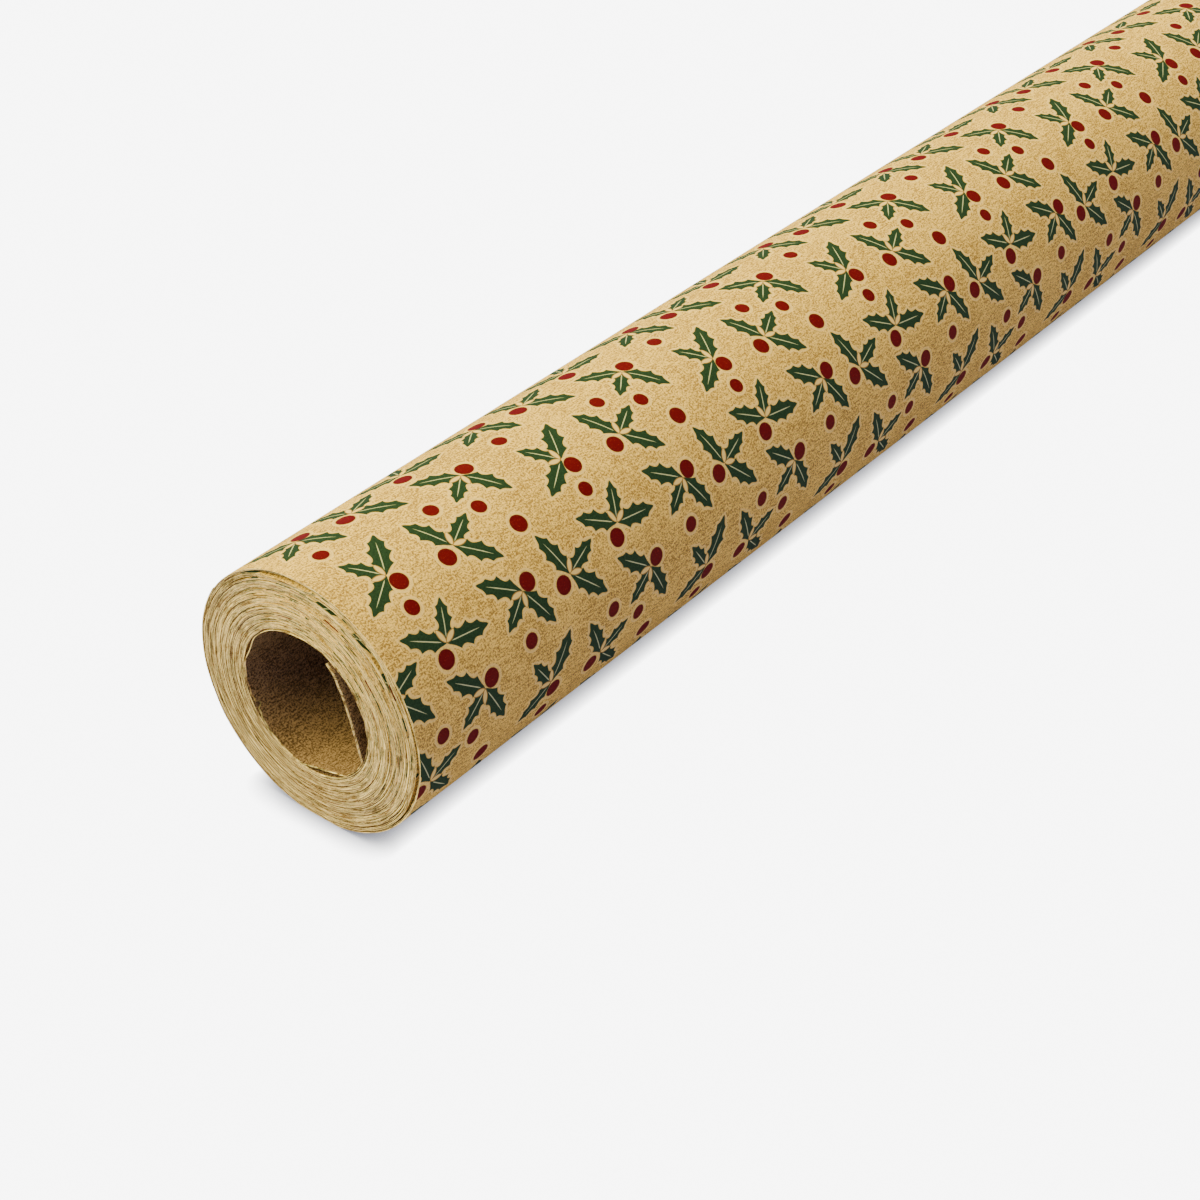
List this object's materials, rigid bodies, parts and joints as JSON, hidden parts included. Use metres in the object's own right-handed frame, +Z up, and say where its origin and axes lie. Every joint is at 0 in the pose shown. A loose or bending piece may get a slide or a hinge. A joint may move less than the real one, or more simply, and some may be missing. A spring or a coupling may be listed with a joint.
{
  "type": "wrapping paper roll",
  "caption": "Coreless roll of printed kraft gift-wrapping paper lying on its side, with telescoping turns, a folded leading edge in the hollow and a free end that lifts.",
  "frame": {"origin": "on the surface that the roll rests on, under the middle of the roll", "axes": "+X along the roll's axis, from the near end to the far end; +Y towards the back, where the free end of the sheet is; +Z up"},
  "size_m": [0.7006, 0.048, 0.0475],
  "materials": {
    "printed_paper": "matte",
    "wound_paper": "matte",
    "plain_paper": "matte"
  },
  "bodies": {
    "leading_edge": {"leading_edge": "plain_paper"},
    "inner_turn": {"inner_turn": "plain_paper"},
    "wound_turns_1": {"wound_turns_1": "wound_paper"},
    "wound_turns_2": {"wound_turns_2": "wound_paper"},
    "wound_turns_3": {"wound_turns_3": "wound_paper"},
    "wound_turns_4": {"wound_turns_4": "wound_paper"},
    "wound_turns_5": {"wound_turns_5": "wound_paper"},
    "wound_turns_6": {"wound_turns_6": "wound_paper"},
    "slack_turns": {"slack_turns": "printed_paper"},
    "outer_turns": {"outer_turns": "printed_paper"},
    "lifting_strip": {"lifting_strip": "printed_paper"},
    "free_edge": {"free_edge": "printed_paper"}
  },
  "joints": [
    {"name": "telescope", "type": "slide", "parent": "outer_turns", "child": "slack_turns", "axis": [-1, 0, 0], "range_m": [-0.008, 0.008]},
    {"name": "wound_turns_6_slide", "type": "slide", "parent": "slack_turns", "child": "wound_turns_6", "axis": [-1, 0, 0], "range_m": [-0.008, 0.008]},
    {"name": "wound_turns_5_slide", "type": "slide", "parent": "wound_turns_6", "child": "wound_turns_5", "axis": [-1, 0, 0], "range_m": [-0.008, 0.008]},
    {"name": "wound_turns_4_slide", "type": "slide", "parent": "wound_turns_5", "child": "wound_turns_4", "axis": [-1, 0, 0], "range_m": [-0.008, 0.008]},
    {"name": "wound_turns_3_slide", "type": "slide", "parent": "wound_turns_4", "child": "wound_turns_3", "axis": [-1, 0, 0], "range_m": [-0.008, 0.008]},
    {"name": "wound_turns_2_slide", "type": "slide", "parent": "wound_turns_3", "child": "wound_turns_2", "axis": [-1, 0, 0], "range_m": [-0.008, 0.008]},
    {"name": "wound_turns_1_slide", "type": "slide", "parent": "wound_turns_2", "child": "wound_turns_1", "axis": [-1, 0, 0], "range_m": [-0.008, 0.008]},
    {"name": "inner_turn_slide", "type": "slide", "parent": "wound_turns_1", "child": "inner_turn", "axis": [-1, 0, 0], "range_m": [-0.008, 0.008]},
    {"name": "leading_edge_fold", "type": "hinge", "parent": "inner_turn", "child": "leading_edge", "pos_m": [0, -0.00729, 0.01238], "axis": [-1, 0, 0], "range_deg": [0, 55]},
    {"name": "end_lift", "type": "hinge", "parent": "outer_turns", "child": "lifting_strip", "pos_m": [0, 0.01701, 0.00664], "axis": [-1, 0, 0], "range_deg": [0, 70], "stiffness_Nm_per_rad": 0.0012, "springref_deg": -34.38},
    {"name": "end_curl", "type": "hinge", "parent": "lifting_strip", "child": "free_edge", "pos_m": [0, 0.02391, 0.02153], "axis": [-1, 0, 0], "range_deg": [0, 35], "stiffness_Nm_per_rad": 0.0006, "springref_deg": -34.38}
  ],
  "couplings": [
    {"joint": "wound_turns_6_slide", "follows": "telescope", "ratio": 1},
    {"joint": "wound_turns_5_slide", "follows": "telescope", "ratio": 1},
    {"joint": "wound_turns_4_slide", "follows": "telescope", "ratio": 1},
    {"joint": "wound_turns_3_slide", "follows": "telescope", "ratio": 1},
    {"joint": "wound_turns_2_slide", "follows": "telescope", "ratio": 1},
    {"joint": "wound_turns_1_slide", "follows": "telescope", "ratio": 1},
    {"joint": "inner_turn_slide", "follows": "telescope", "ratio": 1},
    {"joint": "end_curl", "follows": "end_lift", "ratio": 0.5}
  ]
}
